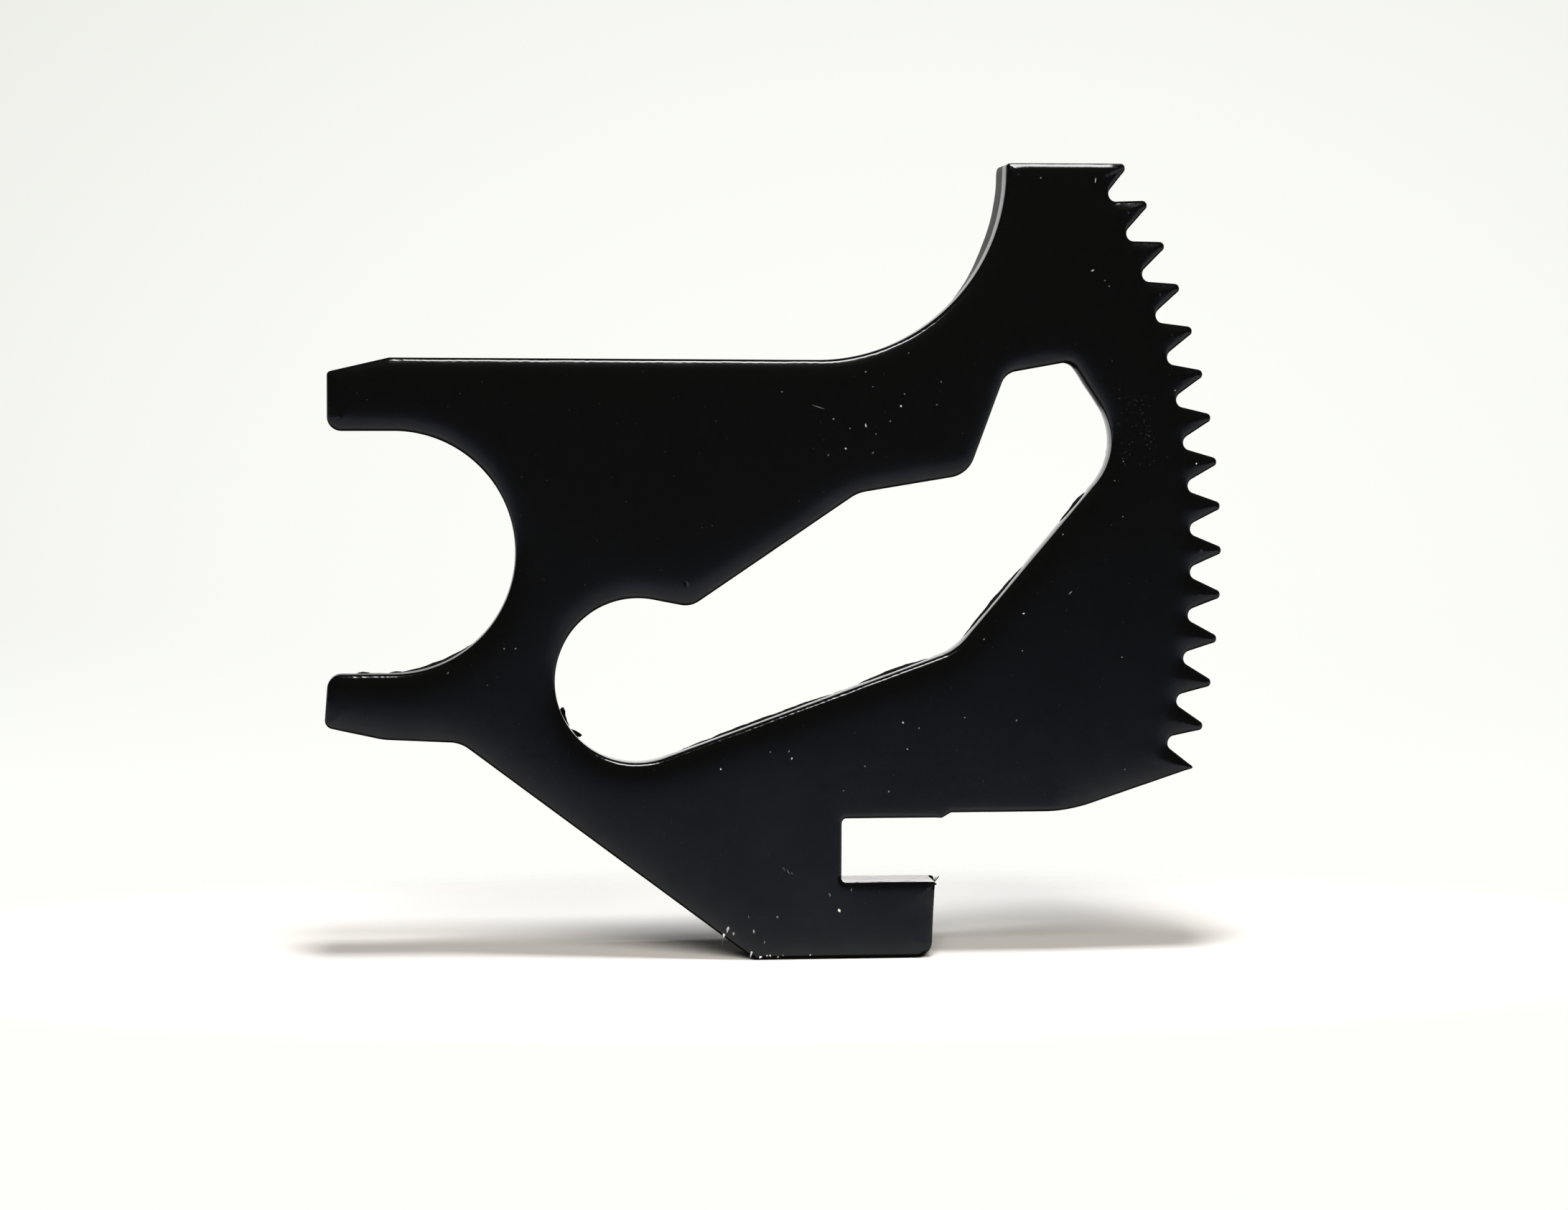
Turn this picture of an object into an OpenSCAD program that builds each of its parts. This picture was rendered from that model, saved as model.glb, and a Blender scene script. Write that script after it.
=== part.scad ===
// Ratchet sector of a parking brake: one plate blanked from steel and coated black.
// The outline lies in XZ: +X runs from the boss notch to the teeth and +Z is up.
// Y runs through the plate, and the origin is the notch's centre at mid thickness.

/* [Plate] */
// Thickness of the plate
plate_t = 4; // [2.5:0.1:6]

/* [Boss notch and arms] */
// Radius of the half-round notch that seats on the boss
notch_r = 11; // [9:0.1:12.5]
// How far the arms reach past the notch's centre
arm_reach = 5.95; // [4:0.05:9]
// Height of the upper arm above the notch
upper_arm_h = 6.62; // [5:0.02:9]
// Length of the slanted nose on top of the upper arm
nose_len = 5.6; // [3:0.1:8]
// Fall of the slanted nose
nose_drop = 1.28; // [0.4:0.02:2.5]
// Height of the lower arm's end below the notch
lower_arm_h = 4.8; // [3.5:0.1:7]
// How far the lower arm's end leans outwards at its foot
lower_arm_lean = 0.35; // [0:0.05:1]
// Length of the lower arm's slanted underside
chin_len = 5.3; // [3:0.1:8]
// Fall of the lower arm's slanted underside
chin_drop = 1.17; // [0.4:0.01:2.5]
// Rounding between the lower arm's slanted and level underside
chin_round = 7; // [0.5:0.5:12]
// Distance from the notch's centre to where the strut starts
strut_start = 6; // [3:0.1:10]
// Rounding between the lower arm's level underside and the strut
strut_round = 3; // [0.5:0.5:6]
// Fall of the lower arm's level underside as far as the strut
strut_drop = 0.34; // [0:0.02:1]
// Rounding of the corners inside the arms' ends
arm_round = 1.3; // [0.2:0.1:2]
// Rounding of the corners outside the arms' ends
arm_end_round = 0.8; // [0.2:0.1:1.5]

/* [Toothed arc] */
// Number of teeth, the two cut into by the horn and the belly among them
tooth_count = 15; // [8:1:16]
// Angle from tooth to tooth
tooth_pitch = 3.068; // [2.8:0.002:3.3]
// Radius over the rounded tips
tip_r = 76.68; // [73:0.02:80]
// Depth from the rounded tips to the rounded roots
tooth_depth = 2.9; // [2:0.02:3.4]
// Rounding of the tips
tip_round = 0.45; // [0.15:0.01:0.6]
// Rounding of the roots
root_round = 0.68; // [0.3:0.01:0.8]
// Angle of the lowest tooth below the horizontal
arc_drop = 14.7; // [13:0.01:17]
// How far the arc's centre lies left of the notch's centre
arc_shift_x = 0.66; // [-1.5:0.02:1.5]
// How far the arc's centre lies below the notch's centre
arc_shift_z = 0.9; // [-1.5:0.02:1.5]

/* [Horn] */
// Height of the horn's flat top above the notch's centre
horn_top = 35.3; // [33:0.1:38]
// Width of the horn's top from its upright edge to the circle of the tips
horn_w = 11.27; // [9:0.01:14]
// Radius of the sweep from the upper arm into the horn
horn_r = 17.15; // [12:0.05:17.5]
// Fall of the upper arm's top edge as far as the sweep
arm_fall = 0.19; // [0:0.01:0.8]
// Rounding of the horn's free corner
horn_round = 0.45; // [0.1:0.05:1.5]

/* [Foot, hook and belly] */
// Depth of the foot's flat base below the notch's centre
foot_z = 37.5; // [35:0.1:42]
// Length of the foot from its left corner to the hook's free end
foot_w = 16.6; // [13:0.1:20]
// How far the hook's end leans inwards at its base
hook_lean = 0.25; // [0:0.05:0.8]
// Rounding of the hook's lower corner
hook_round = 1.5; // [0.2:0.1:2.5]
// Depth of the slot from the hook's free end
slot_depth = 8.65; // [6:0.05:11]
// Depth of the slot's roof below the notch's centre
slot_roof_z = 24.55; // [22.5:0.05:27]
// Width of the slot from roof to hook
slot_h = 5.9; // [4:0.1:8]
// Rounding of the slot's two inner corners
slot_round = 0.45; // [0.2:0.05:1.5]
// Distance past the hook at which the belly's step starts
step_gap = 0.6; // [0.2:0.1:2]
// Length of the step's slope
step_len = 0.9; // [0.4:0.1:2]
// Height of the step from the slot's roof up to the belly
step_h = 0.46; // [0.1:0.02:1]
// Distance from the circle of the tips back to the belly's turn
belly_rise_w = 10.53; // [7:0.01:14]
// Length of the level belly from its turn back to the hook's free end
belly_w = 12.4; // [9:0.1:16]
// Rise angle of the belly towards the last tooth
belly_angle = 18.5; // [8:0.5:24]
// Rounding of the belly's turn
belly_round = 14; // [2:1:20]

/* [Window] */
// Radius of the window's low round end
low_r = 7.52; // [5:0.02:8.5]
// Width of the web between the notch and the low round end
boss_web = 6.5; // [5:0.05:8]
// Angle of the low round end's centre below the horizontal
low_drop = 28; // [24:0.1:31]
// Radius of the window's high round end
high_r = 6; // [4:0.05:7]
// Width of the rim between the high round end and the tooth roots
rim_w = 6.55; // [5:0.05:8]
// Angle of the high round end's centre above the horizontal, seen from the arc's centre
high_rise = 10.22; // [8:0.01:12]
// Knee of the lower edge, left of the high end's centre
knee_back = 8.25; // [6:0.05:11]
// Knee of the lower edge, below the high end's centre
knee_below = 19.1; // [17:0.05:21]
// Rounding of the knee
knee_round = 5.5; // [1:0.5:8]
// Top corner by the teeth, right of the high end's centre
crown_out = 2.3; // [1:0.05:3.2]
// Top corner by the teeth, above the high end's centre
crown_above = 7.35; // [6.8:0.05:9]
// Top corner by the horn, left of the high end's centre
brow_back = 3.85; // [2.5:0.05:5.5]
// Top corner by the horn, above the high end's centre
brow_above = 6.25; // [4:0.05:7]
// Shoulder under the horn, left of the high end's centre
shoulder_back = 7.25; // [6.2:0.05:9]
// Shoulder under the horn, below the high end's centre
shoulder_below = 3; // [1:0.05:4]
// Bend in the upper edge, left of the high end's centre
bend_back = 17.35; // [15:0.05:20]
// Bend in the upper edge, below the high end's centre
bend_below = 4.65; // [3.5:0.05:6]
// Peak beside the low round end, right of that end's centre
peak_out = 4.85; // [4:0.05:7]
// Peak beside the low round end, above that end's centre
peak_above = 6.7; // [6:0.05:8]
// Rounding of the crown
crown_round = 1.3; // [0.3:0.1:2]
// Rounding of the brow
brow_round = 1.7; // [0.3:0.1:3]
// Rounding of the shoulder
shoulder_round = 2.6; // [0.5:0.1:4]
// Rounding of the bend
bend_round = 3.5; // [0.5:0.5:6]
// Rounding of the peak
peak_round = 2.2; // [0.5:0.1:4]

/* [Hidden] */

coat_black = "#15161a";
round_facets = 120;
facet_angle = 25;
facet_len = 0.5;
wall_share = 0.49;
cut_play = 1;

arc_centre = [-arc_shift_x, -arc_shift_z];
root_r = tip_r - tooth_depth;
arm_top = notch_r + upper_arm_h;
sweep_z = arm_top - arm_fall;
hook_top_z = slot_roof_z + slot_h;
belly_z = slot_roof_z - step_h;
chin_z = notch_r + lower_arm_h + chin_drop;
low_centre = (notch_r + boss_web + low_r) * [cos(low_drop), -sin(low_drop)];
high_centre = on_arc(root_r - rim_w - high_r, high_rise);
horn_x = arc_x(horn_top) - horn_w;
belly_end = arc_x(-belly_z) - belly_rise_w;
hook_end = belly_end - belly_w;
foot_left = hook_end - foot_w;
slot_x = hook_end - slot_depth;
sweep_centre = [horn_x - horn_r, sweep_z + horn_r];

// Half angle between a tooth's flanks, which are straight and meet both roundings.
half_pitch_w = (tip_r + root_r) / 2 * tan(tooth_pitch / 2);
flank_angle = flank_from(27, 6);
sharp_tip_r = tip_r + tip_round * (1 / sin(flank_angle) - 1);
sharp_root_r = root_r - root_round * (1 / sin(flank_angle) - 1);

// The sharp depth depends on the angle and the angle on the depth: a few turns settle both.
function flank_from(a, turns) =
    turns == 0 ? a
    : flank_from(atan(half_pitch_w / (tooth_depth + (tip_round + root_round) * (1 / sin(a) - 1))),
                 turns - 1);

function unit(v) = v / norm(v);
function flat(p) = [p[0], p[1]];
function on_arc(r, a) = arc_centre + r * [cos(a), sin(a)];
function arc_x(z) = sqrt(pow(tip_r, 2) - pow(z + arc_shift_z, 2)) - arc_shift_x;
function tooth_angle(i) = -arc_drop + i * tooth_pitch;
function sharp_tip(i) = on_arc(sharp_tip_r, tooth_angle(i));
function sharp_root(i) = on_arc(sharp_root_r, tooth_angle(i) + tooth_pitch / 2);

// Where the line from p to q crosses the line from s along direction d.
function crossing(p, q, s, d) =
    let (e = q - p, k = cross(s - p, d) / cross(e, d)) p + k * e;

// Point on a circle where the line from p touches it, on the left or the right seen from p.
function touch(p, centre, r, side) =
    let (v = p - centre,
         a = atan2(v[1], v[0]) - side * acos(r / norm(v)))
    centre + r * [cos(a), sin(a)];

// One corner [x, z, radius] as the points of its rounding, from corner a to corner c.
function corner(a, b, c) =
    let (u = unit(flat(a) - flat(b)),
         w = unit(flat(c) - flat(b)),
         half = acos(max(-1, min(1, u * w))) / 2,
         room = wall_share * min(norm(flat(a) - flat(b)), norm(flat(c) - flat(b))),
         reach = min(b[2] / tan(half), room),
         mid = flat(b) + unit(u + w) * reach / cos(half),
         first = flat(b) + u * reach - mid,
         turn = (cross(u, w) > 0 ? -1 : 1) * (180 - 2 * half),
         steps = max(ceil(abs(turn) / facet_angle), ceil(b[2] * abs(turn) * PI / 180 / facet_len)))
    b[2] == 0 ? [flat(b)]
    : [for (k = [0 : steps])
           let (t = turn * k / steps)
           mid + [first[0] * cos(t) - first[1] * sin(t), first[0] * sin(t) + first[1] * cos(t)]];

// A closed outline from its corners, each rounded by its own radius.
function rounded(list) =
    let (n = len(list))
    [for (i = [0 : n - 1]) each corner(list[(i + n - 1) % n], list[i], list[(i + 1) % n])];

function with_r(p, r) = [p[0], p[1], r];

// Corners of the toothed edge from the belly's tooth up to the horn's tooth.
function tooth_corners() =
    let (last = tooth_count - 1,
         belly_tip = crossing(sharp_tip(0), sharp_root(0),
                              [belly_end, -belly_z], [cos(belly_angle), sin(belly_angle)]),
         horn_tip = crossing(sharp_root(last - 1), sharp_tip(last), [horn_x, horn_top], [1, 0]))
    [with_r(belly_tip, tip_round / 3),
     with_r(sharp_root(0), root_round),
     for (i = [1 : last - 1]) each [with_r(sharp_tip(i), tip_round),
                                    with_r(sharp_root(i), root_round)],
     with_r(horn_tip, tip_round)];

// The arms, the notch's straight mouth and the strut down to the foot.
function arm_corners() =
    let (chin_x = chin_len - arm_reach - lower_arm_lean)
    [[-arm_reach, arm_top - nose_drop, arm_end_round / 2],
     [-arm_reach, notch_r, arm_round],
     [0, notch_r, 0],
     [0, -notch_r, 0],
     [-arm_reach, -notch_r, arm_round],
     [-arm_reach - lower_arm_lean, -notch_r - lower_arm_h, arm_end_round],
     [chin_x, -chin_z, chin_round],
     [strut_start, -chin_z - strut_drop, strut_round],
     [foot_left, -foot_z, arm_end_round / 4]];

// The foot, the hook with its slot, the step and the belly.
function foot_corners() =
    [[hook_end - hook_lean, -foot_z, hook_round],
     [hook_end, -hook_top_z, slot_round / 6],
     [slot_x, -hook_top_z, slot_round],
     [slot_x, -slot_roof_z, slot_round],
     [hook_end + step_gap, -slot_roof_z, slot_round / 2],
     [hook_end + step_gap + step_len, -belly_z, slot_round / 2],
     [belly_end, -belly_z, belly_round]];

// The horn's free corner and the chord that the sweep cuts into.
function horn_corners() =
    [[horn_x, horn_top, horn_round],
     [horn_x, sweep_centre[1], 0],
     [sweep_centre[0], sweep_z, 0],
     [nose_len - arm_reach, arm_top, arm_end_round]];

module plate_outline() {
    difference() {
        polygon(rounded(concat(arm_corners(), foot_corners(), tooth_corners(), horn_corners())));
        circle(r = notch_r, $fn = round_facets);
        translate(sweep_centre) circle(r = horn_r, $fn = round_facets);
    }
}

// A low round end and a high bulge, joined by straight edges that leave them at a tangent.
module window_outline() {
    knee = high_centre - [knee_back, knee_below];
    crown = high_centre + [crown_out, crown_above];
    brow = high_centre + [-brow_back, brow_above];
    shoulder = high_centre - [shoulder_back, shoulder_below];
    bend = high_centre - [bend_back, bend_below];
    peak = low_centre + [peak_out, peak_above];
    cheek = crossing(knee, touch(knee, high_centre, high_r, -1),
                     crown, touch(crown, high_centre, high_r, 1) - crown);
    translate(low_centre) circle(r = low_r, $fn = round_facets);
    polygon(rounded([
        with_r(touch(knee, low_centre, low_r, 1), 0),
        with_r(knee, knee_round),
        with_r(cheek, high_r),
        with_r(crown, crown_round),
        with_r(brow, brow_round),
        with_r(shoulder, shoulder_round),
        with_r(bend, bend_round),
        with_r(peak, peak_round),
        with_r(touch(peak, low_centre, low_r, -1), 0)]));
}

module ratchet_sector() {
    color(coat_black)
    difference() {
        rotate([90, 0, 0]) linear_extrude(height = plate_t, center = true) plate_outline();
        rotate([90, 0, 0])
            linear_extrude(height = plate_t + 2 * cut_play, center = true) window_outline();
    }
}

ratchet_sector();
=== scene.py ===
import bmesh
import bpy
import numpy as np
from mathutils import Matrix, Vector
from mathutils.geometry import delaunay_2d_cdt


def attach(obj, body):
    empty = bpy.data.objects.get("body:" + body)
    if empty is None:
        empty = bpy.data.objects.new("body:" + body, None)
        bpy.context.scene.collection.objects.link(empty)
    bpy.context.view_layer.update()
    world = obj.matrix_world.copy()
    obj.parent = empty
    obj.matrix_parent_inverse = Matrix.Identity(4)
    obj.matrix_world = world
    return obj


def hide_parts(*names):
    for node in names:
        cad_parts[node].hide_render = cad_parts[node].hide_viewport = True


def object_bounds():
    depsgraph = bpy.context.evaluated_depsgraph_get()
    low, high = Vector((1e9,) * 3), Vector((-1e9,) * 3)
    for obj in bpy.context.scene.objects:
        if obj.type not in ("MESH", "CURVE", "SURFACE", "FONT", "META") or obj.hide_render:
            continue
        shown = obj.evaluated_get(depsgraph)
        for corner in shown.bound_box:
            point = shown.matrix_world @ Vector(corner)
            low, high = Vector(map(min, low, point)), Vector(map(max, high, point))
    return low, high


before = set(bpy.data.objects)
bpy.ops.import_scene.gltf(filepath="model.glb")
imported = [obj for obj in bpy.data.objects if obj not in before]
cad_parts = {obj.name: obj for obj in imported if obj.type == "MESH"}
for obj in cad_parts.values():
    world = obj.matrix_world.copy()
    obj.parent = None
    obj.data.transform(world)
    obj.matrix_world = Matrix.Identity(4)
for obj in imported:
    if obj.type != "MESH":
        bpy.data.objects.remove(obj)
cad_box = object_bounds()

MM = 0.001
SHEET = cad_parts["ratchet_sector"]
THICK = 4.0
FLOOR_Z = -37.5

# ---------------------------------------------------------------- small helpers


def linear(hex_colour):
    """sRGB hex to linear RGBA: c / 12.92 under 0.04045, else ((c + 0.055) / 1.055) ^ 2.4."""
    c = np.array([int(hex_colour[i:i + 2], 16) for i in (1, 3, 5)]) / 255.0
    c = np.where(c <= 0.04045, c / 12.92, ((c + 0.055) / 1.055) ** 2.4)
    return (*c.tolist(), 1.0)


def smooth(a, b, x):
    """Smooth step: 0 under a, 1 over b, and 3 t^2 - 2 t^3 between them."""
    t = np.clip((x - a) / (b - a), 0.0, 1.0)
    return t * t * (3.0 - 2.0 * t)


def wave(s, seed, pitch, count=9):
    """Uneven line along a path, about -1 to 1: a sum of sines of seeded phase, whose
    wavelengths run from four pitches down to one."""
    rng = np.random.default_rng(seed)
    length = pitch * np.geomspace(4.0, 1.0, count)
    phase = rng.uniform(0, 2 * np.pi, count)
    size = rng.uniform(0.4, 1.0, count)
    rows = size[:, None] * np.sin(2 * np.pi * s[None, :] / length[:, None] + phase[:, None])
    return rows.sum(0) / np.sqrt((size ** 2).sum() * 0.5) / 2.0


def add_mesh(name, verts, faces, material, attributes=()):
    """A mesh object at the origin from points in mm and a list of faces, shaded smooth."""
    mesh = bpy.data.meshes.new(name)
    mesh.from_pydata((np.asarray(verts) * MM).tolist(), [], faces)
    mesh.validate()
    mesh.shade_smooth()
    for key, values in attributes:
        mesh.attributes.new(key, "FLOAT", "POINT").data.foreach_set("value", values)
    mesh.materials.append(material)
    mesh.update()
    obj = bpy.data.objects.new(name, mesh)
    bpy.context.scene.collection.objects.link(obj)
    return obj


# ---------------------------------------------------------------- the outline


def outline_loops(node):
    """The closed loops (x, z) of the flat front face. The triangles in the plane of least y
    keep only those edges that one triangle alone uses, and these are chained end to end:
    with a chain of known length, a jump of that length doubles it."""
    merged = bmesh.new()
    merged.from_mesh(node.data)
    bmesh.ops.remove_doubles(merged, verts=merged.verts, dist=2e-6)
    mesh = bpy.data.meshes.new("outline")
    merged.to_mesh(mesh)
    merged.free()
    mesh.calc_loop_triangles()
    co = np.empty(3 * len(mesh.vertices))
    mesh.vertices.foreach_get("co", co)
    co = co.reshape(-1, 3) / MM
    tri = np.empty(3 * len(mesh.loop_triangles), dtype=np.int32)
    mesh.loop_triangles.foreach_get("vertices", tri)
    bpy.data.meshes.remove(mesh)
    tri = tri.reshape(-1, 3)
    tri = tri[(co[tri][:, :, 1] < co[:, 1].min() + 0.001).all(1)]
    flat = co[:, [0, 2]]
    edge = np.vstack([tri[:, [0, 1]], tri[:, [1, 2]], tri[:, [2, 0]]])
    n = len(flat)
    rim = edge[~np.isin(edge[:, 0] * n + edge[:, 1], edge[:, 1] * n + edge[:, 0])]
    follow = np.full(n, -1)
    follow[rim[:, 0]] = rim[:, 1]
    loops, left = [], set(rim[:, 0].tolist())
    while left:
        chain, jump = np.array([min(left)]), follow
        while len(np.unique(chain)) == len(chain):
            chain = np.concatenate([chain, jump[chain]])
            jump = np.where(jump >= 0, jump[jump], -1)
        chain = chain[:np.flatnonzero(chain[1:] == chain[0])[0] + 1]
        loops.append(flat[chain])
        left -= set(chain.tolist())
    return sorted(loops, key=len, reverse=True)


def rounded_loop(p, step):
    """Puts the arcs back that the frame's mesh gives as chords. An edge longer than its
    neighbours is straight. At every other point the tangent turns with arc length, so that
    equal chords give a circle, and each edge becomes a cubic Bezier with handles of
    length / (3 cos^2(turn / 4)), sampled about every step."""
    edge = np.roll(p, -1, 0) - p
    size = np.hypot(edge[:, 0], edge[:, 1])
    around = np.maximum(np.roll(size, 1), np.roll(size, -1))
    straight = (size > 1.9) | (size > 1.4 * around)
    way = np.arctan2(edge[:, 1], edge[:, 0])
    turn = (way - np.roll(way, 1) + np.pi) % (2 * np.pi) - np.pi
    before, after = np.roll(straight, 1), straight
    share = np.roll(size, 1) / (np.roll(size, 1) + size)
    share = np.where(before & ~after, 0.0, np.where(after & ~before, 1.0, share))
    sharp = (np.abs(turn) > np.radians(40)) | (before & after)
    enter = np.where(sharp, 0.0, share) * turn + np.roll(way, 1)
    leave = np.where(sharp, way, enter)
    enter = np.roll(enter, -1)
    bend = (enter - leave + np.pi) % (2 * np.pi) - np.pi
    reach = size / 3.0 / np.cos(bend / 4.0) ** 2
    a, d = p, np.roll(p, -1, 0)
    b = a + reach[:, None] * np.stack([np.cos(leave), np.sin(leave)], 1)
    c = d - reach[:, None] * np.stack([np.cos(enter), np.sin(enter)], 1)
    parts = np.maximum(1, np.ceil(size / step)).astype(int)
    k = np.repeat(np.arange(len(p)), parts)
    first = np.concatenate([[0], np.cumsum(parts)[:-1]])
    t = ((np.arange(len(k)) - first[k]) / parts[k])[:, None]
    return ((1 - t) ** 3 * a[k] + 3 * (1 - t) ** 2 * t * b[k]
            + 3 * (1 - t) * t * t * c[k] + t ** 3 * d[k])


def along(p):
    """Distance along a closed loop and its outward normal, which is the tangent through
    both neighbours turned a quarter clockwise."""
    ahead = np.roll(p, -1, 0) - p
    size = np.hypot(ahead[:, 0], ahead[:, 1])
    s = np.concatenate([[0.0], np.cumsum(size)[:-1]])
    unit = ahead / size[:, None]
    t = unit + np.roll(unit, 1, 0)
    t /= np.hypot(t[:, 0], t[:, 1])[:, None]
    return s, size.sum(), np.stack([t[:, 1], -t[:, 0]], 1)


STEP = 0.152
LOOPS = [rounded_loop(p, STEP) for p in outline_loops(SHEET)]
PATHS = [along(p) for p in LOOPS]
RIM = np.vstack(LOOPS)
RIM_N = np.vstack([n for _, _, n in PATHS])


def nearest(points, rim, block=1500):
    """Distance from each point to the nearest point of the rim, and that point's index."""
    near, who = [], []
    for i in range(0, len(points), block):
        d = ((points[i:i + block, None, :] - rim[None, :, :]) ** 2).sum(2)
        j = d.argmin(1)
        who.append(j)
        near.append(np.sqrt(d[np.arange(len(j)), j]))
    return np.concatenate(near), np.concatenate(who)


def convexity(p, s, total, n, reach=1.6):
    """How far the metal bulges at a point of the outline: the mean of (neighbour - point)
    times the inward normal, over neighbours up to a reach away, divided by that reach."""
    out = np.zeros(len(p))
    steps = np.arange(1, int(reach / STEP) + 1)
    for k in steps:
        for side in (-k, k):
            out -= ((np.roll(p, side, 0) - p) * n).sum(1)
    return out / (2 * len(steps) * reach)


# ---------------------------------------------------------------- the press's marks

EDGE_R = 0.34
HORN_EDGE_R = 0.12
FOOT_EDGE_R = 0.42
ROLL_DEEP = 0.28
ROLL_LONG = 0.80
BURNISH = 1.95
LACQUER = 0.02


def soften(values, count):
    """Values along a closed loop, averaged over count neighbours with a bell weight."""
    kernel = np.hanning(count + 2)[1:-1]
    half = count // 2
    return np.convolve(np.concatenate([values[-half:], values, values[:half]]), kernel / kernel.sum(),
                       "valid")


def lens(p, ends, wide):
    """1 inside a lens-shaped patch along the outline between two points, falling to 0 at its
    tips and beyond wide from the line between them."""
    a, b = np.array(ends[0]), np.array(ends[1])
    d = b - a
    t = ((p - a) @ d) / (d @ d)
    off = np.abs((p - a) @ np.array([-d[1], d[0]])) / np.hypot(*d)
    return np.where((t > 0) & (t < 1) & (off < wide), np.sqrt(np.clip(4 * t * (1 - t), 0, 1)), 0.0)


# Where the torn band stands out of its hollow and shows as a dark crescent: (x, z) of both
# tips, how far it stands out in mm, and how far the burnish stops short there.
LENSES = [
    (((61.25, 2.61), (63.70, 5.52)), 0.25, 0.65),
    (((52.22, -8.10), (57.92, -1.34)), 0.25, 0.65),
    (((42.34, -12.40), (49.59, -9.77)), 0.41, 0.60),
    (((25.10, -18.65), (42.05, -12.51)), 0.36, 0.65),
    (((-3.36, -11.0), (-2.29, -11.0)), 0.10, 0.30),
    (((-5.80, -11.0), (0.60, -11.0)), 0.36, 0.45),
    (((-0.50, -11.0), (7.80, -7.75)), 0.66, 0.10),
    (((8.04, -7.51), (9.02, -6.30)), 0.48, 0.20),
]


def under_burr(p):
    return np.hypot(p[:, 0] - 16.1, p[:, 1] + 15.9) < 1.9


def torn_shape(p, s, n):
    """How far the torn band lies back from the burnished one at the plate's back, and where
    it starts, in mm: a share for each stretch of the outline times an uneven line along it,
    less what stands out at each crescent."""
    x, z = p[:, 0], p[:, 1]
    depth = np.full(len(p), 0.30)
    horn = (z > 17.0) & (x > 37) & (x < 56.2) & (n[:, 0] < 0.2)
    depth = np.where(horn, 0.52 * (1 - smooth(18, 28, z)), depth)
    depth = np.where(horn & (n[:, 0] < -0.5) & (z < 35.0), depth - 0.15 * smooth(24, 29, z), depth)
    inside = (z < 17.4) & (z > -19.6) & (x > 14.0) & (x < 66.0)
    depth = np.where(inside, 0.56, depth)
    depth = np.where(np.hypot(x + 0.66, z + 0.9) > 72.0, 0.10, depth)
    depth = np.where((x < 11.3) & (np.abs(z) < 11.3), 0.60, depth)
    depth = np.where(under_burr(p), 0.10, depth)
    depth = np.where(z < -24.3, 0.05, depth)
    depth = soften(depth, 11) * (1.0 + 0.07 * wave(s, 11, 1.7) + 0.02 * wave(s, 12, 0.5))
    start = -THICK / 2 + BURNISH + 0.06 * wave(s, 21, 1.1) + 0.015 * wave(s, 22, 0.35)
    for ends, height, early in LENSES:
        island = lens(p, ends, 1.3)
        depth = depth - height * island
        start = start - early * island
    floor = np.where(horn & (n[:, 0] < -0.5) | (z < 17.0), -0.16, 0.0)
    return np.clip(depth, floor, 0.9), start


def turn_rate(p):
    """Turn of the outline per mm at each point, positive where the metal bulges."""
    ahead = np.roll(p, -1, 0) - p
    size = np.hypot(ahead[:, 0], ahead[:, 1])
    way = np.arctan2(ahead[:, 1], ahead[:, 0])
    turn = (way - np.roll(way, 1) + np.pi) % (2 * np.pi) - np.pi
    return turn / (0.5 * (size + np.roll(size, 1)))


def on_horn_top(p):
    return p[:, 1] > 35.2


def on_hook_top(p):
    return (np.abs(p[:, 1] + 30.5) < 0.7) & (p[:, 0] > 40.2)


def faces_down(n):
    return smooth(0.3, 0.7, -n[:, 1])


def front_radius(p, s, n):
    """Radius of the rounding between face and wall: EDGE_R with a slow unevenness, less
    along the horn's top and under the foot, more where the wall faces down, and under four fifths of the outline's own
    radius at its corners, from where it grows by half a millimetre per millimetre."""
    r = (EDGE_R + 0.20 * faces_down(n)) * (1.0 + 0.07 * wave(s, 41, 2.6))
    r = np.where(on_horn_top(p), HORN_EDGE_R * (1.0 + 0.15 * wave(s, 42, 1.1)), r)
    r = np.where(p[:, 1] < -37.3, FOOT_EDGE_R, r)
    r = np.where(on_hook_top(p), 0.42 * (1.0 + 0.10 * wave(s, 45, 0.9)), r)
    r = np.minimum(r, 0.8 / np.maximum(turn_rate(p), 0.1))
    for k in range(1, 10):
        low = np.minimum(np.roll(r, k), np.roll(r, -k))
        r = np.minimum(r, low + 0.5 * k * STEP)
    return soften(r, 7)


def roll_shape(p, s, total, n):
    """Depth and length of the face's roll at each point: deeper and longer where the outline
    bulges, and short along the horn's top and round the slot."""
    out = np.clip(1.0 + 2.2 * convexity(p, s, total, n), 0.55, 1.7)
    deep = ROLL_DEEP * out * (1.0 + 0.05 * wave(s, 43, 3.0))
    length = ROLL_LONG * out ** 0.6
    top = on_horn_top(p)
    slot = (p[:, 1] < -24.0) & (p[:, 1] > -32.0) & (p[:, 0] > 38.5)
    deep = np.where(slot, 0.25 * deep, np.where(top, 0.15 * (1.0 + 0.10 * wave(s, 44, 1.3)), deep))
    return soften(deep, 25), soften(np.where(top | slot, 0.32, length), 25)


ROLLS = np.hstack([roll_shape(p, *path) for p, path in zip(LOOPS, PATHS)])


def roll_sag(d, deep, length):
    """Sag of the face near its rolled edge: deep times exp(-distance / length)."""
    return deep * np.exp(-d / length)


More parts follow.
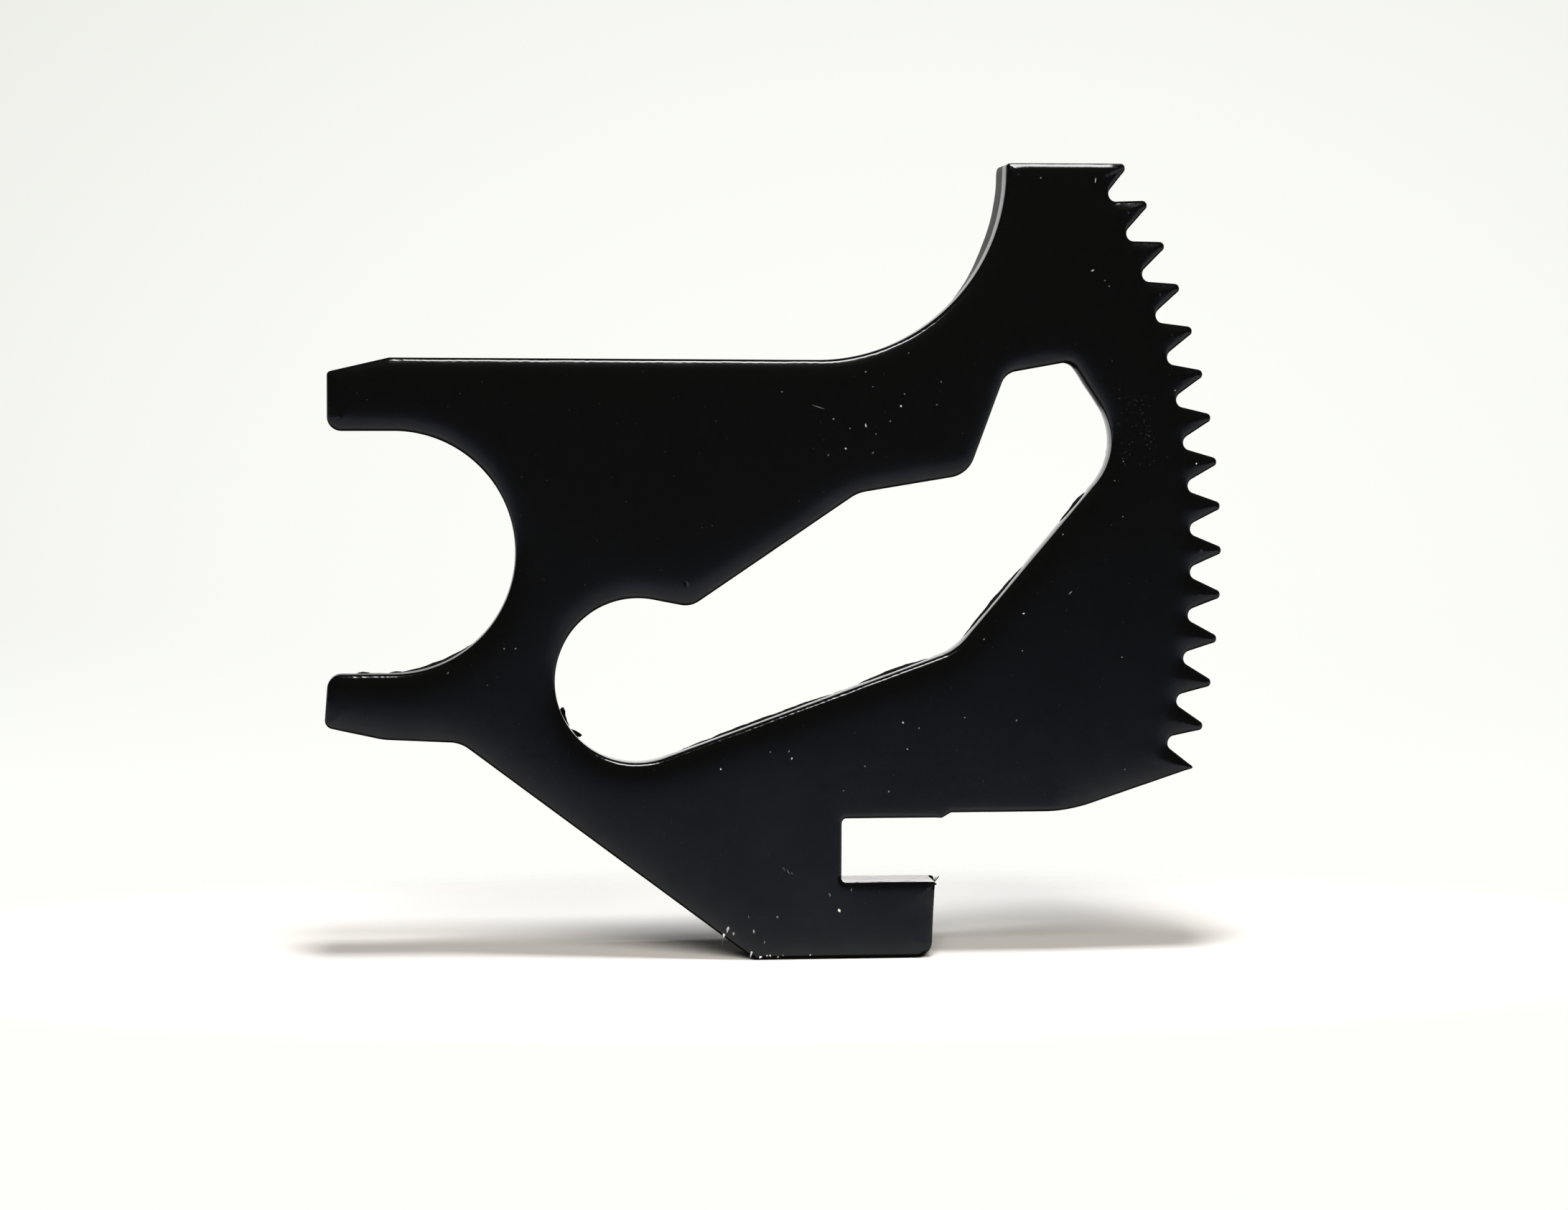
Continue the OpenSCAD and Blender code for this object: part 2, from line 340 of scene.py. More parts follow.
def wall_rings(p, s, n, r, deep, length):
    """One ring of points for each row of the wall's section, from the face's rim to the
    back's rim: a rounding that starts at the face's own slope, a straight burnished band,
    a torn band that leans back by its depth, and a short turn at the back. Beside each ring
    stands how torn and how worn it is, from 0 to 1. The torn value also carries painted
    shade: it is set to 1 on the foot's bottom rounding, the hook's front rounding and the
    steep rounding of downward-facing edges, which then render near black."""
    depth, start = torn_shape(p, s, n)
    half = THICK / 2
    first = np.arctan(deep / length * np.exp(-r / length))
    top = -half + LACQUER + roll_sag(r, deep, length)
    ragged = np.where(on_horn_top(p), 0.003, 0.012) * wave(s, 51, 0.3)
    rows = []
    for k in range(1, 9):
        a = first + (np.pi / 2 - first) * (k / 8.0) ** 1.25
        rise = (np.sin(a) - np.sin(first)) / (1 - np.sin(first))
        bump = ragged * np.sin(np.pi * (k / 8.0) ** 0.7)
        rows.append((r * (1 - rise) + bump, top + r * 0.9 * (np.cos(first) - np.cos(a)), 0.0))
    under = top + r * 0.9 * np.cos(first)
    rows.append((0.0, 0.5 * (start + under), 0.0))
    rows.append((0.0, start - 0.05, 0.0))
    step = 0.03 * (depth > 0.12)
    rows.append((step * 0.5, start, 0.5))
    for k, t in enumerate((0.06, 0.18, 0.34, 0.50, 0.66, 0.82, 0.95)):
        grain = 0.008 * wave(s, 31 + k, 0.42) * np.clip(depth / 0.2, 0.0, 1.0)
        rows.append((step + (depth - step) * t ** 0.8 + grain, start + (half - 0.04 - start) * t, 1.0))
    rows.append((depth + 0.02, half - 0.03, 1.0))
    rows.append((np.maximum(depth, 0.0) + 0.09, half, 1.0))
    horn = (p[:, 0] > 37) & (p[:, 1] > 17)
    foot = smooth(-36.9, -37.3, p[:, 1])
    hook = on_hook_top(p).astype(float)
    notch = soften(((p[:, 0] < 11.6) & (np.abs(p[:, 1]) < 11.4)).astype(float), 11)
    points, torn, worn = [], [], []
    for k, (inward, y, share) in enumerate(rows):
        q = p - n * (inward * np.ones(len(p)))[:, None]
        points.append(np.stack([q[:, 0], y * np.ones(len(p)), q[:, 1]], 1))
        rough = share * np.where(horn, 0.78, 1.0) * (1.0 - 0.85 * hook * (k < 18))
        # Painted shade: near black on the foot's bottom rounding, standing in for the contact shadow there, and on the
        # hook's front rounding, standing in for shade that keeps the strip lamp's highlight off it.
        painted_shade = np.maximum(foot, hook) * (k < 7)
        soft = np.where(on_horn_top(p), 0.35 * (k < 8), 0.28 * horn * (k > 5))
        soft = np.maximum(soft, 0.5 * notch * (k > 5))
        # Painted shade: the steep rounding of each downward-facing edge is near black too, standing in for the plate's
        # shadow on the floor beneath, which it would mirror.
        painted_shade = np.maximum(painted_shade, faces_down(n) * (k > 3) * (k < 9))
        rough = rough * np.where(under_burr(p), 0.3 + 0.25 * wave(s, 52, 0.5), 1.0)
        torn.append(np.clip(np.maximum(np.maximum(rough, painted_shade), soft), 0.0, 1.0))
        worn.append(hook * (k > 6) * (k < 18))
    return points, torn, worn


def face_points(offset_rows, pitch, radii):
    """Points inside the outline for a face: rings at set distances from the edge, each kept
    only past the rounding and where no other stretch of the edge is nearer, and a staggered
    grid in the middle."""
    kept = []
    for inward, skip in offset_rows:
        for p, (_, _, n), r in zip(LOOPS, PATHS, radii):
            q = (p - n * inward)[::skip][(inward > r + 0.05)[::skip]]
            if len(q):
                d, _ = nearest(q, RIM)
                kept.append(q[d > inward - 0.02])
    lo, hi = RIM.min(0), RIM.max(0)
    gx, gz = np.meshgrid(np.arange(lo[0], hi[0], pitch), np.arange(lo[1], hi[1], pitch * 0.87))
    gx = gx + 0.5 * pitch * (np.arange(len(gx)) % 2)[:, None]
    g = np.stack([gx.ravel(), gz.ravel()], 1)
    d, who = nearest(g, RIM)
    inside = ((g - RIM[who]) * RIM_N[who]).sum(1) < 0
    kept.append(g[inside & (d > offset_rows[-1][0] + 0.4 * pitch)])
    return np.vstack(kept)


def fill(rims, loose):
    """Triangles over the area between closed rims and loose points inside them. Those that
    join three rim points are kept only where their middle lies inside, which the nearest
    rim point's normal tells."""
    rim = np.vstack(rims)
    links, start = [], 0
    for r in rims:
        k = np.arange(len(r))
        links.append(np.stack([k, np.roll(k, -1)], 1) + start)
        start += len(r)
    pts = np.vstack([rim, loose])
    out = delaunay_2d_cdt([Vector(v) for v in pts.tolist()], np.vstack(links).tolist(), [], 0, 1e-7)
    verts = np.array([v[:] for v in out[0]])
    tri = np.array(out[2])
    middle = verts[tri].mean(1)
    on_rim = (tri < len(rim)).all(1)
    keep = ~on_rim
    who = np.flatnonzero(on_rim)
    inside = np.zeros(len(who), dtype=bool)
    for r in rims:
        a, b = r, np.roll(r, -1, 0)
        for i in range(0, len(who), 2000):
            m = middle[who[i:i + 2000]]
            z0 = (a[None, :, 1] > m[:, None, 1]) != (b[None, :, 1] > m[:, None, 1])
            run = np.where(b[:, 1] == a[:, 1], 1.0, b[:, 1] - a[:, 1])
            cut = a[None, :, 0] + (m[:, None, 1] - a[None, :, 1]) * ((b[:, 0] - a[:, 0]) / run)[None, :]
            inside[i:i + 2000] ^= ((z0 & (m[:, None, 0] < cut)).sum(1) % 2).astype(bool)
    keep[who] = inside
    return verts, tri[keep]


def plate_mesh():
    """The plate's closed skin: front face with its roll, wall rings, and back face."""
    radii, rings, torn, worn = [], [], [], []
    for p, (s, total, n) in zip(LOOPS, PATHS):
        r = front_radius(p, s, n)
        q, t, w = wall_rings(p, s, n, r, *roll_shape(p, s, total, n))
        radii.append(r)
        rings.append(q)
        torn.append(t)
        worn.append(w)
    deep, length = ROLLS
    front_rim = [p - n * r[:, None] for p, (_, _, n), r in zip(LOOPS, PATHS, radii)]
    rows = [(0.18, 1), (0.27, 1), (0.41, 1), (0.52, 1), (0.66, 1), (0.84, 1), (1.06, 1), (1.35, 2),
            (1.7, 2), (2.2, 3), (2.9, 5)]
    flat, tri = fill(front_rim, face_points(rows, 1.3, radii))
    d, who = nearest(flat, RIM)
    y = -THICK / 2 + LACQUER + roll_sag(d, deep[who], length[who])
    front = np.stack([flat[:, 0], y, flat[:, 1]], 1)

    back_rim = [r[-1][:, [0, 2]] for r in rings]
    flat_b, tri_b = fill(back_rim, face_points([(1.4, 4)], 2.2, radii))
    back = np.stack([flat_b[:, 0], np.full(len(flat_b), THICK / 2), flat_b[:, 1]], 1)

    verts, faces = [front], [tri]
    marks = [np.zeros((2, len(front)))]
    base, total_v, walls = 0, len(front), []
    for loop_rings, loop_torn, loop_worn in zip(rings, torn, worn):
        k = np.arange(len(loop_rings[0]))
        nxt = np.roll(k, -1)
        ids = [base + k]
        for q, t, w in zip(loop_rings[:-1], loop_torn[:-1], loop_worn[:-1]):
            verts.append(q)
            marks.append(np.stack([t, w]))
            ids.append(total_v + k)
            total_v += len(k)
        walls.append(ids)
        for a, b in zip(ids[:-1], ids[1:]):
            faces.append(np.stack([a[k], b[k], b[nxt], a[nxt]], 1))
        base += len(k)
    faces.append(tri_b[:, ::-1] + total_v)
    verts.append(back)
    marks.append(np.zeros((2, len(back))))
    base = 0
    for ids in walls:
        k = np.arange(len(ids[0]))
        nxt = np.roll(k, -1)
        last = total_v + base + k
        faces.append(np.stack([ids[-1][k], last[k], last[nxt], ids[-1][nxt]], 1))
        base += len(k)
    all_faces = [f for block in faces for f in block.tolist()]
    return np.vstack(verts), all_faces, np.hstack(marks)


# ---------------------------------------------------------------- materials


def node_of(tree, kind, values=(), links=(), **settings):
    """Adds one node, sets its settings and its sockets' values, and links its inputs."""
    node = tree.nodes.new(kind)
    for key, value in settings.items():
        setattr(node, key, value)
    for key, value in dict(values).items():
        node.inputs[key].default_value = value
    for key, source in dict(links).items():
        tree.links.new(source, node.inputs[key])
    return node


def coated_steel():
    """Blanked mild steel under a thin black electro-coat: a hard, smooth, glossy skin that
    mirrors the room softly, with a faint orange peel, and duller where the steel is torn.
    The same near-black dullness is painted shade on the roundings that the wall marks for it."""
    mat = bpy.data.materials.new("black_electro_coat_on_blanked_steel")
    mat.use_nodes = True
    tree = mat.node_tree
    shader = tree.nodes["Principled BSDF"]
    place = node_of(tree, "ShaderNodeTexCoord").outputs["Object"]
    torn = node_of(tree, "ShaderNodeAttribute", attribute_name="torn").outputs["Fac"]
    worn = node_of(tree, "ShaderNodeAttribute", attribute_name="worn").outputs["Fac"]
    # Where the coat is rubbed off, grey steel shows with dark scratches along the edge.
    run = node_of(tree, "ShaderNodeMapping", {"Scale": (350.0, 1500.0, 350.0)}, {"Vector": place})
    scratch = node_of(tree, "ShaderNodeTexNoise", {"Scale": 1.0, "Detail": 4.0, "Distortion": 1.5},
                      {"Vector": run.outputs["Vector"]})
    line = node_of(tree, "ShaderNodeMapRange", {"From Min": 0.34, "From Max": 0.42},
                   {"Value": scratch.outputs["Fac"]})
    bare = node_of(tree, "ShaderNodeMath", links={0: line.outputs["Result"], 1: worn},
                   operation="MULTIPLY")
    colour = node_of(tree, "ShaderNodeMix", links={0: bare.outputs[0]}, data_type="RGBA")
    colour.inputs[6].default_value = linear("#090909")
    colour.inputs[7].default_value = linear("#b2b2b0")
    tree.links.new(colour.outputs[2], shader.inputs["Base Color"])
    # High torn values lower IOR, gloss and shine: real on the torn band, painted shade on the foot's bottom rounding,
    # the hook's front rounding and the downward edges' roundings.
    thin = node_of(tree, "ShaderNodeMapRange", {"From Min": 0.8, "To Min": 1.5, "To Max": 1.08},
                   {"Value": torn})
    tree.links.new(thin.outputs["Result"], shader.inputs["IOR"])
    rough = node_of(tree, "ShaderNodeMapRange", {"To Min": 0.11, "To Max": 0.55}, {"Value": torn})
    tree.links.new(rough.outputs["Result"], shader.inputs["Roughness"])
    level = node_of(tree, "ShaderNodeMapRange", {"To Min": 0.5, "To Max": 0.02}, {"Value": torn})
    # Slow waves in the sheet, 3 mm from crest to crest, show as the faint cloudiness of the face.
    cloud = node_of(tree, "ShaderNodeTexNoise", {"Scale": 330.0, "Detail": 3.0}, {"Vector": place})
    patchy = node_of(tree, "ShaderNodeTexNoise", {"Scale": 210.0, "Detail": 5.0, "Roughness": 0.6},
                     {"Vector": place})
    share = node_of(tree, "ShaderNodeMapRange", {"From Min": 0.3, "From Max": 0.7, "To Min": 0.86, "To Max": 1.14},
                    {"Value": patchy.outputs["Fac"]})
    gloss = node_of(tree, "ShaderNodeMath", links={0: level.outputs["Result"], 1: share.outputs["Result"]},
                    operation="MULTIPLY")
    tree.links.new(gloss.outputs[0], shader.inputs["Specular IOR Level"])
    # Orange peel of the coat, about 0.4 mm from crest to crest and a few microns high.
    peel = node_of(tree, "ShaderNodeTexNoise", {"Scale": 2500.0, "Detail": 2.0}, {"Vector": place})
    wide = node_of(tree, "ShaderNodeBump", {"Strength": 0.10, "Distance": 0.0001},
                   {"Height": cloud.outputs["Fac"]})
    fine = node_of(tree, "ShaderNodeBump", {"Strength": 0.10, "Distance": 0.00002},
                   {"Height": peel.outputs["Fac"], "Normal": wide.outputs["Normal"]})
    tree.links.new(fine.outputs["Normal"], shader.inputs["Normal"])
    return mat


# ---------------------------------------------------------------- the plate

verts, faces, marks = plate_mesh()
verts = np.clip(verts, np.array(cad_box[0]) / MM, np.array(cad_box[1]) / MM)
COAT = coated_steel()
plate = add_mesh("ratchet_plate", verts, faces, COAT, [("torn", marks[0]), ("worn", marks[1])])
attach(plate, "root")
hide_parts("ratchet_sector")

# ---------------------------------------------------------------- burrs, chips and dust

# Burrs that stand off the edges: their outlines (x, z), and the depths y they lie between.
BURRS = [
    ([(15.51, -14.51), (15.70, -14.90), (15.70, -15.23), (15.86, -15.79), (16.08, -16.29),
      (15.86, -16.36), (15.40, -15.70), (15.04, -14.98), (15.30, -14.60)], 1.86, 1.98),
    ([(16.14, -16.51), (16.66, -16.72), (17.14, -17.02), (17.24, -17.14), (17.08, -17.30),
      (16.66, -17.27), (16.18, -16.80)], 1.86, 1.98),
    ([(16.52, -16.70), (16.68, -16.87), (16.48, -17.11), (16.29, -17.04)], -0.3, 0.3),
    ([(49.42, -30.59), (49.82, -30.56), (50.02, -30.64), (50.12, -31.01), (49.89, -31.00),
      (49.75, -30.77)], 1.80, 1.98),
    ([(49.80, -31.48), (50.57, -30.65), (50.62, -30.69), (49.86, -31.58)], 1.88, 1.96),
    ([(49.82, -31.50), (50.34, -30.67), (50.36, -30.71), (49.88, -31.58)], 1.88, 1.96),
    ([(49.85, -31.15), (50.39, -31.33), (50.33, -31.48), (49.85, -31.40)], 1.88, 1.96),
]

# Chips of the coat and grains of dust: (x, z, length, width, tilt from +X in degrees, tone).
GRAINS = [
    (30.39, -34.45, 0.92, 0.20, 77, 180), (30.89, -34.95, 0.46, 0.20, 80, 150),
    (30.01, -35.14, 0.46, 0.26, 75, 230), (29.90, -35.74, 0.80, 0.07, 82, 95),
    (32.74, -34.78, 0.39, 0.13, 85, 170), (33.73, -35.79, 0.33, 0.13, 85, 110),
    (32.58, -36.73, 1.18, 0.20, 73, 200), (33.40, -37.17, 0.39, 0.26, 60, 245),
    (34.00, -37.05, 0.26, 0.20, 50, 170), (34.26, -37.05, 0.26, 0.20, 120, 190),
    (34.99, -37.20, 0.26, 0.16, 20, 150), (35.45, -37.07, 0.20, 0.13, 0, 130),
    (37.97, -37.04, 0.26, 0.16, 60, 190), (32.27, -33.45, 0.26, 0.13, 110, 90),
    (34.91, -33.48, 0.26, 0.20, 150, 110), (40.60, -32.96, 0.33, 0.26, 110, 220),
    (35.49, -29.06, 0.52, 0.13, 125, 66), (35.89, -29.33, 0.59, 0.13, 120, 80),
    (36.22, -29.47, 0.39, 0.13, 130, 66), (39.73, -31.49, 0.39, 0.13, 115, 110),
    (41.72, -31.05, 0.33, 0.13, 70, 100), (46.06, 13.23, 0.24, 0.17, 120, 175),
    (42.84, 11.47, 0.33, 0.17, 90, 175), (41.01, 9.38, 0.24, 0.17, 144, 175),
    (57.50, -5.75, 0.24, 0.17, 4, 175), (46.41, -15.70, 0.24, 0.17, 145, 175),
    (36.18, -18.91, 0.24, 0.17, 84, 175), (29.67, -19.83, 0.24, 0.17, 92, 175),
    (46.75, 18.05, 0.16, 0.10, 50, 100), (43.48, 14.99, 0.18, 0.10, 0, 86),
    (46.38, 14.33, 0.22, 0.14, 135, 94), (39.88, 12.06, 0.18, 0.16, 31, 120),
    (45.08, 11.86, 0.21, 0.12, 113, 104), (41.39, 11.21, 0.20, 0.10, 172, 107),
    (43.76, 10.68, 0.16, 0.15, 33, 87), (43.51, 8.99, 0.20, 0.15, 61, 94),
    (39.43, 8.80, 0.22, 0.15, 55, 85), (35.15, 14.53, 0.20, 0.10, 6, 105),
    (49.74, 15.44, 0.18, 0.12, 95, 97), (49.35, 13.36, 0.21, 0.12, 21, 90),
    (42.81, 16.35, 0.20, 0.13, 30, 116), (66.64, 8.17, 0.16, 0.12, 26, 116),
    (65.86, 6.39, 0.18, 0.13, 174, 94), (66.62, 3.10, 0.14, 0.15, 156, 88),
    (71.38, 14.66, 0.21, 0.12, 176, 123), (61.11, 1.47, 0.18, 0.15, 48, 107),
    (57.40, -9.18, 0.16, 0.14, 35, 111), (66.68, -9.83, 0.20, 0.13, 174, 93),
    (53.86, -8.10, 0.20, 0.11, 29, 112), (56.91, -15.58, 0.20, 0.12, 59, 116),
    (52.12, -15.28, 0.16, 0.12, 28, 116), (47.88, -16.24, 0.18, 0.14, 19, 109),
    (46.83, -18.14, 0.22, 0.16, 111, 113), (35.92, -18.25, 0.21, 0.11, 64, 113),
    (34.20, -18.30, 0.21, 0.12, 76, 107), (42.92, -19.69, 0.18, 0.16, 132, 97),
    (40.95, -21.92, 0.18, 0.10, 142, 101), (45.12, -22.03, 0.20, 0.15, 110, 121),
    (67.05, -20.18, 0.17, 0.16, 105, 92), (57.52, 34.92, 0.21, 0.11, 124, 101),
    (58.78, 33.95, 0.15, 0.15, 149, 118), (64.76, 24.67, 0.16, 0.13, 179, 95),
    (65.16, 24.14, 0.18, 0.13, 126, 89), (4.88, -10.87, 0.21, 0.12, 79, 102),
    (8.44, -12.00, 0.15, 0.10, 137, 92), (9.94, -8.69, 0.17, 0.15, 85, 120),
    (10.98, -8.69, 0.18, 0.13, 2, 111), (61.82, -3.86, 0.46, 0.13, 45, 120),
    (63.81, 33.75, 0.59, 0.12, 85, 150), (63.62, 25.58, 0.39, 0.14, 35, 170),
    (38.46, 13.16, 1.18, 0.10, -19, 90),
]


def burr_mesh():
    """Each burr as a closed prism: its outline at both depths, joined by a band of quads."""
    verts, faces, start = [], [], 0
    for outline, near, far in BURRS:
        q = np.array(outline)
        area = (q[:, 0] * np.roll(q[:, 1], -1) - np.roll(q[:, 0], -1) * q[:, 1]).sum()
        q = q if area > 0 else q[::-1]
        n = len(q)
        for y in (near, far):
            verts.append(np.stack([q[:, 0], np.full(n, y), q[:, 1]], 1))
        a = np.arange(n)
        b = np.roll(a, -1)
        faces += [(a + start).tolist(), (a[::-1] + start + n).tolist()]
        faces += (np.stack([a, a + n, b + n, b], 1) + start).tolist()
        start += 2 * n
    return np.vstack(verts), faces


def faint_grains(count, low, high, seed):
    """Faint dust: (x, z) spread evenly over a box and kept over the metal, small and dim."""
    rng = np.random.default_rng(seed)
    q = rng.uniform(low, high, (count, 2))
    d, who = nearest(q, RIM)
    q = q[(d > 0.5) & (((q - RIM[who]) * RIM_N[who]).sum(1) < 0)]
    n = len(q)
    return np.column_stack([q, rng.uniform(0.07, 0.16, n), rng.uniform(0.06, 0.10, n),
                            rng.uniform(0, 180, n), rng.uniform(26, 52, n)])


def grain_mesh():
    """Grains and chips as closed octahedra, long along their tilt and thin across the face,
    on the face where it rolls off."""
    g = np.vstack([np.array(GRAINS), faint_grains(380, (-16, -37), (71, 19), 61),
                   faint_grains(60, (65.6, 7.7), (69.8, 14.6), 62)])
    rng = np.random.default_rng(63)
    d, who = nearest(g[:, :2], RIM)
    y = -THICK / 2 + LACQUER + roll_sag(d, *ROLLS[:, who]) - 0.004
    a = np.radians(g[:, 4])
    way = np.stack([np.cos(a), np.zeros(len(g)), np.sin(a)], 1)
    across = np.stack([-np.sin(a), np.zeros(len(g)), np.cos(a)], 1)
    middle = np.stack([g[:, 0], y, g[:, 1]], 1)
    half = 0.53 * g[:, 2:4] * rng.uniform(0.85, 1.15, (len(g), 2))
    lean = rng.uniform(-0.3, 0.3, (len(g), 4)) * half[:, [1, 1, 0, 0]]
    out = np.array([0.0, 0.014, 0.0])
    corners = [middle + way * half[:, :1] + across * lean[:, :1],
               middle + across * half[:, 1:] + way * lean[:, 2:3],
               middle - way * half[:, :1] + across * lean[:, 1:2],
               middle - across * half[:, 1:] + way * lean[:, 3:4],
               middle - out, middle + out]
    verts = np.stack(corners, 1)
    verts[:, :, 2] = np.maximum(verts[:, :, 2], -37.48)
    faces = np.array([(k, (k + 1) % 4, 4) for k in range(4)] + [((k + 1) % 4, k, 5) for k in range(4)])
    all_faces = (faces[None] + 6 * np.arange(len(g))[:, None, None]).reshape(-1, 3)
    return verts.reshape(-1, 3), all_faces.tolist(), np.repeat(g[:, 5] / 255.0, 6)


def pale_grain():
    """Dust and bare chips: dull pale mineral grey, as light as each grain's own tone."""
    mat = bpy.data.materials.new("pale_dust_and_chipped_coat")
    mat.use_nodes = True
    tree = mat.node_tree
    shader = tree.nodes["Principled BSDF"]
    shader.inputs["Roughness"].default_value = 0.8
    tone = node_of(tree, "ShaderNodeAttribute", attribute_name="tone").outputs["Fac"]
    grey = node_of(tree, "ShaderNodeMath", {1: 2.6}, {0: tone}, operation="POWER")
    tree.links.new(grey.outputs[0], shader.inputs["Base Color"])
    return mat


verts, faces = burr_mesh()
burrs = add_mesh("edge_burrs", verts, faces, COAT, [("torn", np.ones(len(verts)))])
verts, faces, tones = grain_mesh()
grains = add_mesh("chips_and_dust", verts, faces, pale_grain(), [("tone", tones)])
for piece in (burrs, grains):
    piece.data.shade_flat()
    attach(piece, "root")

# ---------------------------------------------------------------- stage, light and camera


BESIDE_SHEET = (0.027, 0.0114, FLOOR_Z * MM)


def floor_paper():
    """White paper sweep. Round the part it takes light and shadow as paper does. Further out,
    and in what the coat mirrors, it gives way to the room, which has its look there."""
    mat = bpy.data.materials.new("white_sweep_paper")
    mat.use_nodes = True
    tree = mat.node_tree
    shader = tree.nodes["Principled BSDF"]
    shader.inputs["Base Color"].default_value = linear("#fdfcfa")
    shader.inputs["Roughness"].default_value = 1.0
    shader.inputs["Specular IOR Level"].default_value = 0.0
    place = node_of(tree, "ShaderNodeTexCoord").outputs["Object"]
    flat = node_of(tree, "ShaderNodeVectorMath", {1: (0.75, 1.9, 1.0)}, {0: place}, operation="MULTIPLY")
    far = node_of(tree, "ShaderNodeVectorMath", {1: BESIDE_SHEET}, {0: flat.outputs["Vector"]},
                  operation="DISTANCE")
    out = node_of(tree, "ShaderNodeMapRange", {"From Min": 0.048, "From Max": 0.075},
                  {"Value": far.outputs["Value"]}, interpolation_type="SMOOTHSTEP")
    path = node_of(tree, "ShaderNodeLightPath").outputs
    seen = node_of(tree, "ShaderNodeMath", links={0: out.outputs["Result"], 1: path["Is Camera Ray"]},
                   operation="MULTIPLY")
    share = node_of(tree, "ShaderNodeMath", links={0: seen.outputs[0], 1: path["Is Glossy Ray"]},
                    operation="MAXIMUM")
    clear = node_of(tree, "ShaderNodeBsdfTransparent")
    mix = node_of(tree, "ShaderNodeMixShader", links={"Fac": share.outputs[0]})
    tree.links.new(shader.outputs["BSDF"], mix.inputs[1])
    tree.links.new(clear.outputs["BSDF"], mix.inputs[2])
    tree.links.new(mix.outputs["Shader"], tree.nodes["Material Output"].inputs["Surface"])
    return mat


def stage():
    """A floor under the foot, big enough to meet the white world at the horizon."""
    side = 6000.0
    corners = [(x, y, FLOOR_Z) for x, y in ((-side, -side), (side, -side), (side, side), (-side, side))]
    floor = add_mesh("floor", corners, [(0, 1, 2, 3)], floor_paper())


# What the coat mirrors, by the angle round the plate's length: 0 is level towards the
# viewer, 90 straight up, 180 level behind the plate and -90 straight down. The sweep is
# bright behind the plate and ahead below it, and the room before it is dark. From straight
# down round to some 25 degrees below level behind, the ring is near black: a painted
# reflection of the plate's own shadow on the floor under it.
ROOM = [
    (-180, (0.90, 0.90, 0.88)), (-168, (0.70, 0.70, 0.69)), (-155, (0.03, 0.03, 0.03)),
    (-92, (0.02, 0.02, 0.02)), (-76, (0.26, 0.26, 0.26)), (-58, (0.44, 0.44, 0.45)),
    (-25, (0.36, 0.37, 0.40)), (-12, (0.20, 0.21, 0.27)), (-10, (0.14, 0.15, 0.205)),
    (-7, (0.034, 0.050, 0.080)), (-3, (0.008, 0.010, 0.013)), (3, (0.003, 0.003, 0.003)),
    (60, (0.010, 0.010, 0.010)), (130, (0.020, 0.020, 0.020)), (150, (0.10, 0.10, 0.10)),
    (164, (0.92, 0.92, 0.91)), (180, (1.0, 1.0, 0.98)),
]


